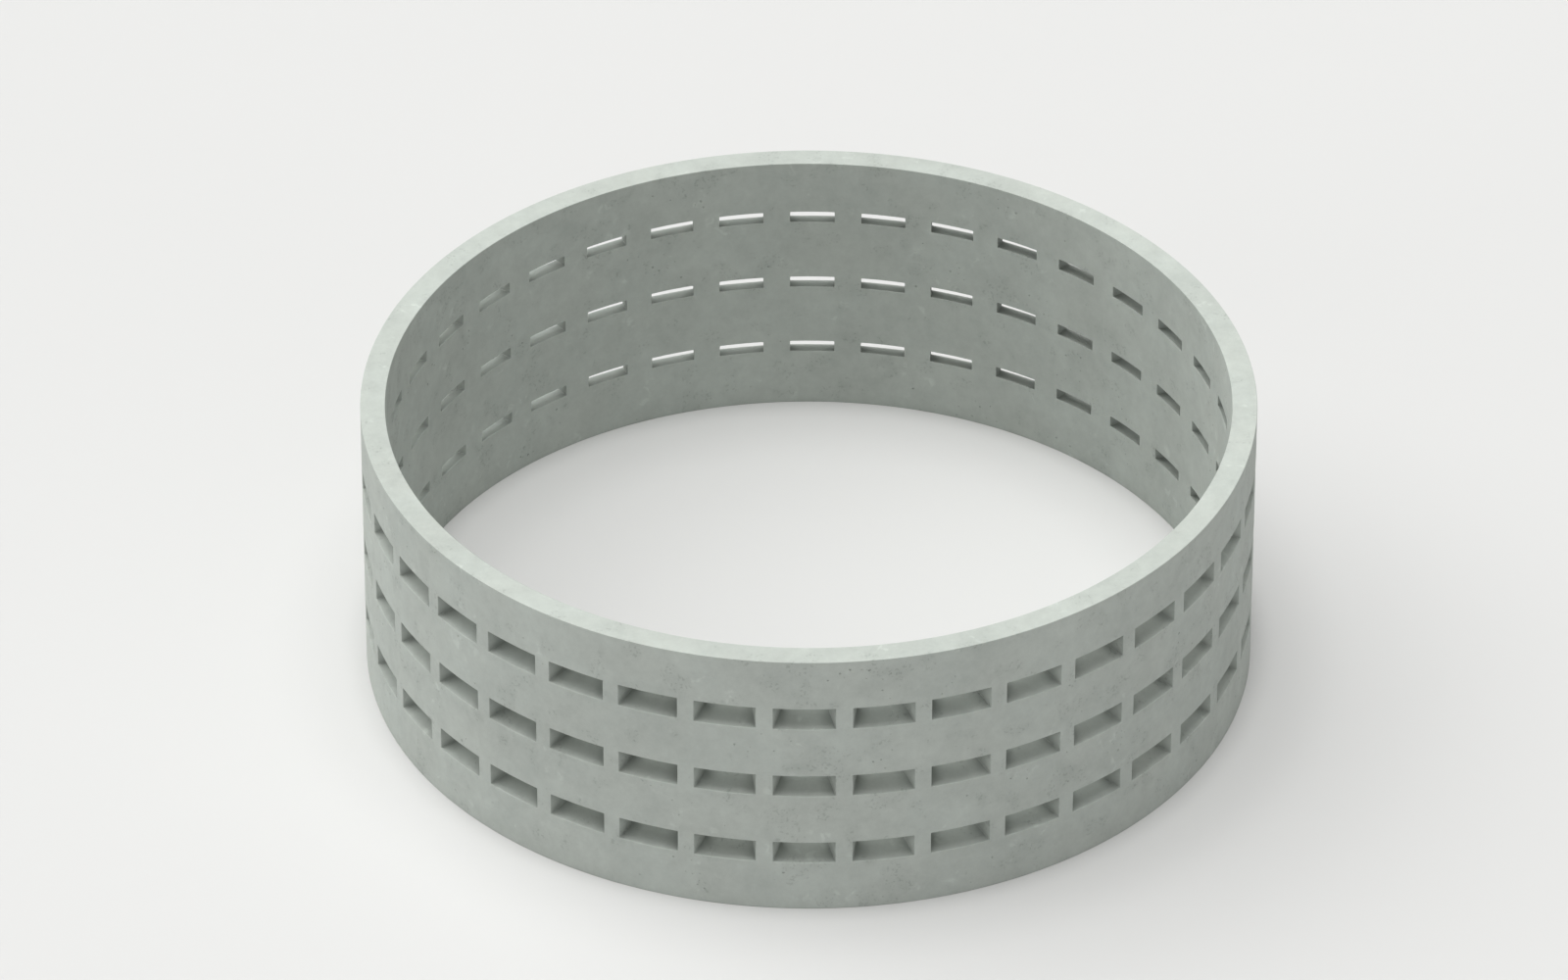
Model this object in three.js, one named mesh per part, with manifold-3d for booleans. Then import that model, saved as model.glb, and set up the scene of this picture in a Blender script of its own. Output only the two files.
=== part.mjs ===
// A slotted precast concrete ring: a low, wide, plain-ended ring that stands on its end, cast in one
// piece, with three rows of tapered slots through its wall.
// Millimetres, +Z up. The origin is the centre of the bottom rim, and one slot of each row faces -Y.
import * as THREE from 'three';
import { mergeVertices, toCreasedNormals } from 'three/addons/utils/BufferGeometryUtils.js';
import Module from 'manifold-3d';

// Driving dimensions of the ring.
const OUTER_DIAMETER = 3657.6; // 12 ft
const HEIGHT = 1219.2; // 4 ft
const WALL = 101.6; // 4 in

// A slot is the print of a four-sided block-out. It is widest and tallest at the outer face, and its
// sill falls from the inner face to the outer one, so that water runs out through the wall.
const SLOT_OUTER_WIDTH = 254;
const SLOT_OUTER_HEIGHT = 101.6;
const SLOT_INNER_WIDTH = 188;
const SLOT_INNER_HEIGHT = 50.8;
const SILL_FALL = 34.9;

// The rows stand one above another, with equal bands of solid wall below, between and above them.
// A row has as many slots as leave at least this much wall between two, round the outer face.
const SLOT_ROWS = 3;
const LEAST_PIER = 63.5;

// How finely the curved wall is faceted, and how far a block-out stands past both of its faces.
const FACETS_PER_SLOT_PITCH = 6;
const BLOCK_OUT_OVERRUN = 25;

const CREASE_ANGLE = THREE.MathUtils.degToRad(20);

const outerRadius = OUTER_DIAMETER / 2;
const innerRadius = outerRadius - WALL;
const solidBand = (HEIGHT - SLOT_ROWS * SLOT_OUTER_HEIGHT) / (SLOT_ROWS + 1);
const rowPitch = solidBand + SLOT_OUTER_HEIGHT;
const slotsPerRow = Math.floor((Math.PI * OUTER_DIAMETER) / (SLOT_OUTER_WIDTH + LEAST_PIER));
const slotPitch = (2 * Math.PI) / slotsPerRow;

const wasm = await Module();
wasm.setup();

// A closed geometry as a solid that can be cut.
function toSolid(geometry) {
  const bare = geometry.clone();
  bare.deleteAttribute('normal');
  bare.deleteAttribute('uv');
  const merged = mergeVertices(bare);
  return new wasm.Manifold(new wasm.Mesh({
    numProp: 3,
    vertProperties: merged.getAttribute('position').array,
    triVerts: new Uint32Array(merged.getIndex().array),
  }));
}

// A solid as a geometry again, shaded smooth round the wall and sharp at its edges.
function toGeometry(solid) {
  const mesh = solid.getMesh();
  const geometry = new THREE.BufferGeometry();
  geometry.setAttribute('position', new THREE.BufferAttribute(mesh.vertProperties, mesh.numProp));
  geometry.setIndex(new THREE.BufferAttribute(mesh.triVerts, 1));
  return toCreasedNormals(geometry, CREASE_ANGLE);
}

// The plain wall before it is slotted: its rectangular section, turned about +Z.
function plainWall() {
  const section = [
    new THREE.Vector2(innerRadius, 0),
    new THREE.Vector2(outerRadius, 0),
    new THREE.Vector2(outerRadius, HEIGHT),
    new THREE.Vector2(innerRadius, HEIGHT),
    new THREE.Vector2(innerRadius, 0),
  ];
  const turned = new THREE.LatheGeometry(section, slotsPerRow * FACETS_PER_SLOT_PITCH);
  return turned.rotateX(Math.PI / 2);
}

// The block-out's section at a depth behind the outer face, with heights above the outer lip of the sill.
function blockOutSection(depth) {
  const share = depth / WALL;
  const width = THREE.MathUtils.lerp(SLOT_OUTER_WIDTH, SLOT_INNER_WIDTH, share);
  const sill = THREE.MathUtils.lerp(0, SILL_FALL, share);
  const height = THREE.MathUtils.lerp(SLOT_OUTER_HEIGHT, SLOT_INNER_HEIGHT, share);
  return { halfWidth: width / 2, sill, head: sill + height };
}

// The block-out of the slot that faces -Y, with the outer lip of its sill at z = 0. It is a box whose
// corners are drawn in to the section at each end, past both faces of the wall.
function blockOut() {
  const box = new THREE.BoxGeometry(2, 2, 2);
  const corners = box.getAttribute('position');
  for (let i = 0; i < corners.count; i += 1) {
    const outside = corners.getY(i) < 0;
    const depth = outside ? -BLOCK_OUT_OVERRUN : WALL + BLOCK_OUT_OVERRUN;
    const { halfWidth, sill, head } = blockOutSection(depth);
    const z = corners.getZ(i) < 0 ? sill : head;
    corners.setXYZ(i, corners.getX(i) * halfWidth, depth - outerRadius, z);
  }
  return box;
}

// The whole ring: the plain wall, less a block-out for every slot of every row.
function slottedRing() {
  let ring = toSolid(plainWall());
  for (let row = 0; row < SLOT_ROWS; row += 1) {
    for (let place = 0; place < slotsPerRow; place += 1) {
      const slot = blockOut();
      slot.translate(0, 0, solidBand + row * rowPitch);
      slot.rotateZ(place * slotPitch);
      ring = ring.subtract(toSolid(slot));
    }
  }
  return toGeometry(ring);
}

const concrete = new THREE.MeshStandardMaterial({ color: 0xb8bdb5, roughness: 0.9, metalness: 0 });

const ringMesh = new THREE.Mesh(slottedRing(), concrete);
ringMesh.name = 'concrete_ring';

const part = new THREE.Group();
part.add(ringMesh);

export default part;
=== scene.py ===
"""The looks of a slotted precast concrete ring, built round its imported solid.

Metres, +Z up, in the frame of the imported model: the ring stands on z = 0 with its axis through the
origin, and one slot of each row faces -Y.
"""
import itertools
import math
import random

import bmesh
import bpy
import numpy as np
from bl_math import lerp
from mathutils import Matrix, Vector


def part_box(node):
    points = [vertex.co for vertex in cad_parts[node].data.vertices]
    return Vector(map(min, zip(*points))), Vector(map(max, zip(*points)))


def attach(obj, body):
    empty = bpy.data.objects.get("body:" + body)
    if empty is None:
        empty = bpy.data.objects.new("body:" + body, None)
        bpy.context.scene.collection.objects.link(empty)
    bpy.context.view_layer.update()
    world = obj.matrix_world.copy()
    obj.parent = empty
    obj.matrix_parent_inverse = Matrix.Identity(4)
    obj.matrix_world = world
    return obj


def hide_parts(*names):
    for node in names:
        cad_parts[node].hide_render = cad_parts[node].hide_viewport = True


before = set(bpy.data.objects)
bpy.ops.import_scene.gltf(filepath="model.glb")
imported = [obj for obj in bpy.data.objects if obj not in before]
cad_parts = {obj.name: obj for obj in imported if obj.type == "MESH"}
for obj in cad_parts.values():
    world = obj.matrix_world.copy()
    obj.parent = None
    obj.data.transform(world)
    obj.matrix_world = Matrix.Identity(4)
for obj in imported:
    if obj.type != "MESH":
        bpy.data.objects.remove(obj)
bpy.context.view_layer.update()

# The wall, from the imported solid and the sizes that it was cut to.
OUTER_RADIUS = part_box("concrete_ring")[1].x
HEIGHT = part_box("concrete_ring")[1].z
WALL = 0.1016
INNER_RADIUS = OUTER_RADIUS - WALL
SLOT_OUTER_WIDTH = 0.254
SLOT_OUTER_HEIGHT = 0.1016
SLOT_INNER_WIDTH = 0.188
SLOT_INNER_HEIGHT = 0.0508
SILL_FALL = 0.0349
SLOT_ROWS = 3
SLOTS_PER_ROW = 36
SOLID_BAND = (HEIGHT - SLOT_ROWS * SLOT_OUTER_HEIGHT) / (SLOT_ROWS + 1)
ROW_PITCH = SOLID_BAND + SLOT_OUTER_HEIGHT
SLOT_PITCH = 2 * math.pi / SLOTS_PER_ROW

# The wall is made from a lattice of cells: columns round it, levels up it, layers into it. These are the
# steps across a slot, across the pier beside it, up a band, up a slot, and through the wall.
SLOT_STEPS = 6
PIER_STEPS = 2
BAND_STEPS = 4
RISE_STEPS = 2
WALL_STEPS = 3

# The cast arrises are eased, not sharp. The lattice has a line this far from each arris on both sides,
# and the arris itself is drawn in to the middle of the arc between the two.
ARRIS = 0.0025
ARRIS_DRAW = ARRIS * (1 - math.sqrt(0.5))

# Air holes: the open bubbles that a steel form leaves in the face of the concrete. These are for each face
# of the wall, and a hole whose place isn't clear is left out.
HOLE_SEED = 7
HOLE_CLUSTERS = 90
HOLES_PER_CLUSTER = (2, 7)
CLUSTER_SPREAD = 0.035
SINGLE_HOLES = 70
HOLE_RADIUS = (0.0025, 0.0055)

# What a hole's radius is multiplied by for its length one way along the wall, and for its depth.
HOLE_STRETCH = (0.8, 1.3)
HOLE_DEPTH = 0.55

# How far a hole's middle stays from a slot or a rim.
HOLE_MARGIN = 0.012

# How far apart the middles of two holes stay, in sums of their radii.
HOLE_SPACING = 2.5

# What each face of the ring's mesh is.
OUTER_WALL, INNER_WALL, OTHER_FACE, EASED_EDGE, AIR_HOLE = range(5)

# In a corner's normal, the say of an eased face against a flat one, and the least area that counts.
EASED_SAY = 1e-4
LEAST_AREA = 1e-12


def slot_half_angle(radius):
    """Half the angle that a slot takes up on the cylinder of that radius."""
    taper = math.atan((SLOT_OUTER_WIDTH - SLOT_INNER_WIDTH) / 2 / WALL)
    side_to_axis = OUTER_RADIUS * math.sin(taper) - SLOT_OUTER_WIDTH / 2 * math.cos(taper)
    return taper - math.asin(side_to_axis / radius)


def lines_across(span, steps):
    """The lattice lines from a span's start up to its end: (span, share of the way, distance past it)."""
    inner = [(span, step / steps, 0) for step in range(1, steps)]
    return [(span, 0, 0), (span, 0, ARRIS), *inner, (span, 1, -ARRIS)]


PITCH_LINES = lines_across(0, SLOT_STEPS) + lines_across(1, PIER_STEPS)
ROW_LINES = lines_across(0, BAND_STEPS) + lines_across(1, RISE_STEPS)
WALL_LINES = [*lines_across(0, WALL_STEPS), (0, 1, 0)]
COLUMNS = SLOTS_PER_ROW * len(PITCH_LINES)
LEVELS = SLOT_ROWS * len(ROW_LINES) + len(lines_across(0, BAND_STEPS))
LAYERS = len(WALL_LINES) - 1


def line_place(line, ends):
    """Where a lattice line is, between the ends of its span."""
    span, share, past = line
    return lerp(ends[span], ends[span + 1], share) + past


def level_height(level, depth):
    """Height of a lattice level, at a depth behind the plane that touches a slot's outer face.

    The levels bend with the sills and heads of the slots.
    """
    row, step = divmod(level, len(ROW_LINES))
    share = depth / WALL
    sill = lerp(0, SILL_FALL, share)
    head = sill + lerp(SLOT_OUTER_HEIGHT, SLOT_INNER_HEIGHT, share)
    lip = SOLID_BAND + row * ROW_PITCH
    band_bottom = lip - ROW_PITCH + head if row > 0 else 0
    band_top = lip + sill if row < SLOT_ROWS else HEIGHT
    return line_place(ROW_LINES[step], (band_bottom, band_top, lip + head))


def on_ring(radius, angle, z):
    """A point at an angle round the ring, from -Y towards +X."""
    return Vector((radius * math.sin(angle), -radius * math.cos(angle), z))


def lattice_point(column, level, layer, shift):
    """A point of the lattice, moved by a shift (round the ring, up it, into the wall)."""
    around, up, inwards = shift
    radius = OUTER_RADIUS - line_place(WALL_LINES[layer], (0, WALL)) - inwards
    slot, step = divmod(column, len(PITCH_LINES))
    half = slot_half_angle(radius)
    span, share, past = PITCH_LINES[step]
    ends = (-half, half, SLOT_PITCH - half)
    angle = line_place((span, share, past / radius), ends) + around / radius
    depth = OUTER_RADIUS - radius * math.cos(min(angle, half))
    return on_ring(radius, slot * SLOT_PITCH + angle, level_height(level, depth) + up)


def is_solid(column, level, layer):
    """Whether a cell of the lattice is concrete."""
    inside = 0 <= level < LEVELS and 0 <= layer < LAYERS
    across_slot = PITCH_LINES[column % len(PITCH_LINES)][0] == 0
    up_slot = ROW_LINES[level % len(ROW_LINES)][0] == 1
    return inside and not (across_slot and up_slot)


def arris_shift(column, level, layer):
    """How far a point of the lattice is drawn off its arris, along each way of the lattice.

    It goes into the concrete on an outside arris, out of it in an inside corner, and nowhere on a flat.
    """
    # A point is drawn one step for every two cells by which the solid on one side of it outnumbers the
    # solid on the other.
    solid_cells = 0
    towards_solid = Vector((0, 0, 0))
    for before in itertools.product((True, False), repeat=3):
        if is_solid(column - before[0], level - before[1], layer - before[2]):
            solid_cells += 1
            towards_solid += Vector([-1 if back else 1 for back in before])
    way = (solid_cells < 4) - (solid_cells > 4)
    return Vector([way * ARRIS_DRAW * int(part / 2) for part in towards_solid])


def cast_ring():
    """The slotted ring with eased arrises, as a bmesh whose faces say what they are."""
    ring = bmesh.new()
    kind = ring.faces.layers.int.new("kind")
    points = {}

    def point(column, level, layer):
        """The vertex at a point of the lattice, and whether it is on an arris."""
        key = (column % COLUMNS, level, layer)
        if key not in points:
            shift = arris_shift(*key)
            points[key] = (ring.verts.new(lattice_point(*key, shift)), shift.length > 0)
        return points[key]

    def add_side(cell, axis, side):
        """The face of a cell on its low or high side along an axis of the lattice."""
        corners = []
        for across, along in ((0, 0), (1, 0), (1, 1), (0, 1)):
            corner = list(cell)
            corner[axis] += side
            corner[(axis + 1) % 3] += across
            corner[(axis + 2) % 3] += along
            corners.append(point(*corner))
        vertices = [vertex for vertex, _ in corners]
        face = ring.faces.new(reversed(vertices) if side else vertices)
        if any(on_arris for _, on_arris in corners):
            face[kind] = EASED_EDGE
        elif axis == 2:
            face[kind] = (OUTER_WALL, INNER_WALL)[side]
        else:
            face[kind] = OTHER_FACE

    for cell in itertools.product(range(COLUMNS), range(LEVELS), range(LAYERS)):
        if is_solid(*cell):
            for axis, side in itertools.product(range(3), range(2)):
                neighbour = list(cell)
                neighbour[axis] += 1 if side else -1
                if not is_solid(*neighbour):
                    add_side(cell, axis, side)
    return ring


def is_clear_wall(angle, z, margin):
    """Whether a point of the wall, with that much round it, misses the slots and the rims."""
    off_slot = abs((angle + SLOT_PITCH / 2) % SLOT_PITCH - SLOT_PITCH / 2)
    over_slot = off_slot * OUTER_RADIUS < SLOT_OUTER_WIDTH / 2 + margin
    above_lip = (z - SOLID_BAND) % ROW_PITCH
    beside_slot = z > SOLID_BAND - margin and (
        above_lip < SLOT_OUTER_HEIGHT + margin or above_lip > ROW_PITCH - margin
    )
    return margin < z < HEIGHT - margin and not (over_slot and beside_slot)


def anywhere(draw):
    """The angle and height of a place anywhere on the wall."""
    return draw.uniform(0, 2 * math.pi), draw.uniform(0, HEIGHT)


def near(middle, radius, draw):
    """The angle and height of a place near the middle of a cluster, on a face of that radius."""
    angle, z = middle
    return angle + draw.gauss(0, CLUSTER_SPREAD) / radius, z + draw.gauss(0, CLUSTER_SPREAD)


def air_hole_places(draw):
    """The middle of each air hole on its face of the wall, and its radius. Most holes are small."""
    clusters = []
    for radius in (OUTER_RADIUS, INNER_RADIUS):
        for _ in range(HOLE_CLUSTERS):
            middle = anywhere(draw)
            clusters.append((radius, middle, draw.randint(*HOLES_PER_CLUSTER)))
        clusters.append((radius, None, SINGLE_HOLES))

    places = []
    for radius, middle, count in clusters:
        for _ in range(count):
            angle, z = near(middle, radius, draw) if middle else anywhere(draw)
            size = lerp(*HOLE_RADIUS, draw.random() ** 2)
            point = on_ring(radius, angle, z)
            gaps = ((point - other).length / (size + other_size) for other, other_size in places)
            apart = all(gap > HOLE_SPACING for gap in gaps)
            if apart and is_clear_wall(angle, z, HOLE_MARGIN):
                places.append((point, size))
    return places


def air_hole_cutter():
    """The bubbles that leave the air holes, as one mesh of separate rounded lumps."""
    draw = random.Random(HOLE_SEED)
    lumps = bmesh.new()
    kind = lumps.faces.layers.int.new("kind")
    for point, size in air_hole_places(draw):
        outwards = Vector((point.x, point.y, 0)).normalized()
        facing = outwards.to_track_quat("Z", "Y").to_matrix().to_4x4()
        turn = Matrix.Rotation(draw.uniform(0, math.pi), 4, "Z")
        shape = Matrix.Diagonal((size * draw.uniform(*HOLE_STRETCH), size, size * HOLE_DEPTH, 1))
        bmesh.ops.create_icosphere(
            lumps,
            subdivisions=2,
            radius=1,
            matrix=Matrix.Translation(point) @ facing @ turn @ shape,
        )
    for face in lumps.faces:
        face[kind] = AIR_HOLE
    return lumps


def in_scene(name, data):
    """A new object in the scene, with that mesh, lamp or camera."""
    thing = bpy.data.objects.new(name, data)
    bpy.context.scene.collection.objects.link(thing)
    return thing


def as_object(name, shape):
    """A new object in the scene, from a bmesh, which is used up."""
    mesh = bpy.data.meshes.new(name)
    shape.to_mesh(mesh)
    shape.free()
    return in_scene(name, mesh)


def cut(thing, cutter):
    """The mesh of one object less another, which is used up."""
    subtract = thing.modifiers.new("air holes", "BOOLEAN")
    subtract.operation = "DIFFERENCE"
    subtract.solver = "MANIFOLD"
    subtract.object = cutter
    depsgraph = bpy.context.evaluated_depsgraph_get()
    result = bpy.data.meshes.new_from_object(thing.evaluated_get(depsgraph))
    thing.modifiers.clear()
    bpy.data.objects.remove(cutter)
    return result


def values_of(items, name, number=float, parts=1):
    """One value of every item of a mesh, as an array with a row for each where it has parts."""
    values = np.zeros(len(items) * parts, number)
    items.foreach_get(name, values)
    return values.reshape(-1, parts) if parts > 1 else values


def shade_true(mesh):
    """Shades the walls as true cylinders, the flats flat, and each eased arris as round between them.

    A corner takes the normals of the faces round it, weighed by area, with next to no say for the eased
    arrises beside a flat. On a wall it takes the wall's own radial normal.
    """
    kind = values_of(mesh.attributes["kind"].data, "value", int)
    area = values_of(mesh.polygons, "area")
    face_normal = values_of(mesh.polygons, "normal", parts=3)
    corners = values_of(mesh.polygons, "loop_total", int)
    vertex = values_of(mesh.loops, "vertex_index", int)
    position = values_of(mesh.vertices, "co", parts=3)
    say = np.maximum(area, LEAST_AREA) * np.where(kind == EASED_EDGE, EASED_SAY, 1)
    weighed = face_normal * say[:, None]

    # From here on there is one value for each corner of each face.
    face = np.repeat(np.arange(len(corners)), corners)
    in_hole = kind[face] == AIR_HOLE
    normal = np.zeros((len(face), 3))
    for group in (in_hole, ~in_hole):
        summed = np.zeros_like(position)
        np.add.at(summed, vertex[group], weighed[face[group]])
        normal[group] = summed[vertex[group]]

    for wall, outwards in ((OUTER_WALL, 1), (INNER_WALL, -1)):
        on_wall = np.zeros(len(position), bool)
        on_wall[vertex[kind[face] == wall]] = True
        radial = on_wall[vertex] & ~in_hole
        normal[radial] = position[vertex[radial]] * (outwards, outwards, 0)

    normal /= np.linalg.norm(normal, axis=1, keepdims=True)
    mesh.normals_split_custom_set(normal.tolist())


# How far one step of a noise's seed moves it, in metres along each axis.
SEED_SHIFT = (7.3, 3.1, 5.7)


class Nodes:
    """A node tree that is built a node at a time."""

    def __init__(self, tree):
        self.tree = tree
        tree.nodes.clear()

    def add(self, kind, inputs=(), **settings):
        """A new node. An input's value is a constant, or another node's output to link."""
        node = self.tree.nodes.new("ShaderNode" + kind)
        for name, value in settings.items():
            setattr(node, name, value)
        for socket, value in dict(inputs).items():
            if isinstance(value, bpy.types.NodeSocket):
                self.tree.links.new(value, node.inputs[socket])
            else:
                node.inputs[socket].default_value = value
        return node

    def math(self, operation, *values):
        """What a Math node makes of the values."""
        return self.add("Math", dict(enumerate(values)), operation=operation).outputs[0]

    def noise(self, where, size, detail=2, roughness=0.5, distortion=0, seed=0):
        """Soft noise about 0 whose lumps are about that size, in metres."""
        shift = [seed * step for step in SEED_SHIFT]
        shifted = self.add("VectorMath", {0: where, 1: shift})
        inputs = {
            "Vector": shifted.outputs[0],
            "Scale": 1 / size,
            "Detail": detail,
            "Roughness": roughness,
            "Distortion": distortion,
        }
        noise = self.add("TexNoise", inputs, noise_dimensions="3D").outputs["Fac"]
        return self.math("SUBTRACT", noise, 0.5)

    def rise(self, value, low, high):
        """0 where the value is below low, 1 where it is above high, and smooth between."""
        inputs = {"Value": value, "From Min": low, "From Max": high}
        return self.add("MapRange", inputs, interpolation_type="SMOOTHSTEP").outputs["Result"]

    def total(self, start, *parts):
        """A number plus each (value, weight) part."""
        result = start
        for value, weight in parts:
            result = self.math("MULTIPLY_ADD", value, weight, result)
        return result

    def mix(self, share, first, second):
        """The first colour where the share is 0, and the second where it is 1."""
        inputs = {0: share, 6: (*first, 1), 7: (*second, 1)}
        return self.add("Mix", inputs, data_type="RGBA").outputs[2]


# The two hues that the concrete drifts between.
CONCRETE_WARM = (0.476, 0.5095, 0.469)
CONCRETE_COOL = (0.473, 0.5105, 0.4715)

# Painted shade: inside corners and air holes are painted darker from the ring's own ambient occlusion:
# how far out of a corner, how much at most, and how finely that is sampled.
CORNER_REACH = 0.06
CORNER_PAINTED_SHADE = 0.85
CORNER_SAMPLES = 16

# How high the face's relief stands, in metres, and how much of it the shading shows.
SAND_RELIEF = 0.00025
DIMPLE_RELIEF = 0.0006
FRECKLE_RELIEF = -0.0003
RELIEF_SHOWN = 0.8

# Matt, with a little of the form's smoothness.
ROUGHNESS = 0.84
SPECULAR_LEVEL = 0.4


def concrete_material():
    """Fine, smooth, form-cast concrete: clouded, freckled in patches, with pale wisps and fine sand."""
    material = bpy.data.materials.new("form_cast_concrete")
    material.use_nodes = True
    nodes = Nodes(material.node_tree)
    where = nodes.add("TexCoord").outputs["Object"]

    clouds = nodes.noise(where, size=0.42, seed=1)
    mottle = nodes.noise(where, size=0.13, detail=3, seed=2)
    blotch = nodes.noise(where, size=0.045, detail=3, seed=3)
    stipple = nodes.noise(where, size=0.016, seed=4)
    grain = nodes.noise(where, size=0.003, roughness=0.7, seed=5)

    # Dark freckles, but only in patches.
    patch = nodes.rise(nodes.noise(where, size=0.11, detail=1, seed=6), low=0.05, high=0.16)
    speck = nodes.rise(nodes.noise(where, size=0.013, detail=1, seed=7), low=0.08, high=0.17)
    freckles = nodes.math("MULTIPLY", patch, speck)

    # Pale wisps of cement, here and there.
    smudge_place = nodes.rise(nodes.noise(where, size=0.16, detail=1, seed=8), low=0.08, high=0.18)
    wisps = nodes.noise(where, size=0.045, distortion=0.5, seed=9)
    smudge_shape = nodes.rise(wisps, low=0.06, high=0.2)
    smudges = nodes.math("MULTIPLY", smudge_place, smudge_shape)

    cast_tone = nodes.total(
        1.0,
        (clouds, 0.22),
        (mottle, 0.22),
        (blotch, 0.18),
        (stipple, 0.1),
        (grain, 0.17),
        (patch, -0.03),
        (freckles, -0.16),
        (smudges, 0.14),
    )
    # Painted shade: the colour is darkened where the ring's own ambient occlusion finds concrete close by.
    inputs = {"Distance": CORNER_REACH}
    occlusion = nodes.add("AmbientOcclusion", inputs, only_local=True, samples=CORNER_SAMPLES)
    painted_corner_shading = nodes.total(1 - CORNER_PAINTED_SHADE, (occlusion.outputs["AO"], CORNER_PAINTED_SHADE))
    tone = nodes.math("MULTIPLY", cast_tone, painted_corner_shading)
    hue = nodes.rise(nodes.noise(where, size=0.3, seed=10), low=-0.2, high=0.2)
    tint = nodes.mix(hue, CONCRETE_WARM, CONCRETE_COOL)
    colour = nodes.add("VectorMath", {0: tint, "Scale": tone}, operation="SCALE").outputs[0]

    roughness = nodes.total(ROUGHNESS, (mottle, 0.2), (stipple, 0.15), (smudges, -0.08))

    sand = nodes.noise(where, size=0.0022, detail=3, roughness=0.6, seed=11)
    dimple = nodes.noise(where, size=0.02, seed=12)
    height = nodes.total(
        0.0,
        (sand, SAND_RELIEF),
        (dimple, DIMPLE_RELIEF),
        (freckles, FRECKLE_RELIEF),
    )
    bump = nodes.add("Bump", {"Height": height, "Distance": 1.0, "Strength": RELIEF_SHOWN})

    inputs = {
        "Base Color": colour,
        "Roughness": roughness,
        "Specular IOR Level": SPECULAR_LEVEL,
        "Normal": bump.outputs["Normal"],
    }
    surface = nodes.add("BsdfPrincipled", inputs)
    nodes.add("OutputMaterial", {"Surface": surface.outputs[0]})
    return material


def make_ring():
    """The whole ring, with its air holes cut and its material on."""
    ring = as_object("concrete_ring_cast", cast_ring())
    ring.data = cut(ring, as_object("air_holes", air_hole_cutter()))
    shade_true(ring.data)
    ring.data.materials.clear()
    ring.data.materials.append(concrete_material())
    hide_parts("concrete_ring")
    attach(ring, "root")


# The floor lies a hair under the ring's foot. It has one colour where it is looked at, and a slightly
# darker one for the light that it throws back.
FLOOR_RADIUS = 300
FLOOR_SIDES = 128
FLOOR_DROP = 0.0002
FLOOR_COLOUR = (0.66, 0.66, 0.65)
FLOOR_BOUNCE = (0.59, 0.59, 0.59)

BACKDROP = (0.86, 0.86, 0.85)
SKY = (1, 1, 1)
SKY_LEVEL = 0.1


def seen_directly(nodes):
    """1 for what the camera sees, itself or by gloss or glass, and 0 for light on its way round."""
    path = nodes.add("LightPath").outputs
    seen = nodes.math("MAXIMUM", path["Is Camera Ray"], path["Is Glossy Ray"])
    return nodes.math("MAXIMUM", seen, path["Is Transmission Ray"])


def make_floor():
    """A plain pale floor under the ring, which keeps the ring's shadow."""
    disc = bmesh.new()
    bmesh.ops.create_circle(disc, cap_ends=True, segments=FLOOR_SIDES, radius=FLOOR_RADIUS)
    floor = as_object("floor", disc)
    floor.location.z = -FLOOR_DROP
    material = bpy.data.materials.new("pale_floor")
    material.use_nodes = True
    nodes = Nodes(material.node_tree)
    colour = nodes.mix(seen_directly(nodes), FLOOR_BOUNCE, FLOOR_COLOUR)
    surface = nodes.add("BsdfDiffuse", {"Color": colour})
    nodes.add("OutputMaterial", {"Surface": surface.outputs[0]})
    floor.data.materials.append(material)


def make_world():
    """Faint light from all round, and the pale backdrop where it is looked at."""
    world = bpy.data.worlds.new("soft_studio")
    bpy.context.scene.world = world
    world.use_nodes = True
    nodes = Nodes(world.node_tree)
    light = nodes.add("Background", {"Color": (*SKY, 1), "Strength": SKY_LEVEL})
    backdrop = nodes.add("Background", {"Color": (*BACKDROP, 1), "Strength": 1.0})
    inputs = {0: seen_directly(nodes), 1: light.outputs[0], 2: backdrop.outputs[0]}
    either = nodes.add("MixShader", inputs)
    nodes.add("OutputWorld", {"Surface": either.outputs[0]})


def make_sun(name, strength, azimuth, elevation, softness):
    """A soft lamp, far off. Its angles are in degrees, and its azimuth goes round from -Y towards +X."""
    lamp = bpy.data.lights.new(name, "SUN")
    lamp.energy = strength
    lamp.angle = math.radians(softness)
    sun = in_scene(name, lamp)
    sun.rotation_euler = (math.radians(90 - elevation), 0, math.radians(azimuth))


# Metres, degrees, and for the lens and its sensor millimetres.
CAMERA_PLACE = (0.3034, -36.593, 26.667)
CAMERA_TILT = 54.703
CAMERA_TURN = 0.633
CAMERA_LENS = 250.92
CAMERA_SENSOR = 36
CAMERA_REACH = 1000


def make_camera():
    """The long lens that the ring is seen through, from above and a little right of its middle."""
    camera = in_scene("camera", bpy.data.cameras.new("camera"))
    camera.location = CAMERA_PLACE
    camera.rotation_euler = (math.radians(CAMERA_TILT), 0, math.radians(CAMERA_TURN))
    camera.data.lens = CAMERA_LENS
    camera.data.sensor_width = CAMERA_SENSOR
    camera.data.clip_end = CAMERA_REACH
    bpy.context.scene.camera = camera


make_camera()
make_world()
make_floor()
make_sun("overhead", strength=1.02, azimuth=0, elevation=90, softness=10)
make_sun("overhead_soft", strength=1.13, azimuth=0, elevation=90, softness=40)
make_sun("rim_light", strength=1.56, azimuth=-120, elevation=50, softness=60)
make_sun("rim_low", strength=0.23, azimuth=-120, elevation=5, softness=20)
make_sun("key", strength=0.41, azimuth=-30, elevation=12, softness=60)
make_sun("fill", strength=0.3, azimuth=30, elevation=50, softness=60)
make_sun("left_side", strength=0.35, azimuth=-60, elevation=5, softness=20)
make_sun("right_side", strength=0.3, azimuth=60, elevation=5, softness=20)
make_ring()
bpy.context.scene.view_settings.view_transform = "Standard"
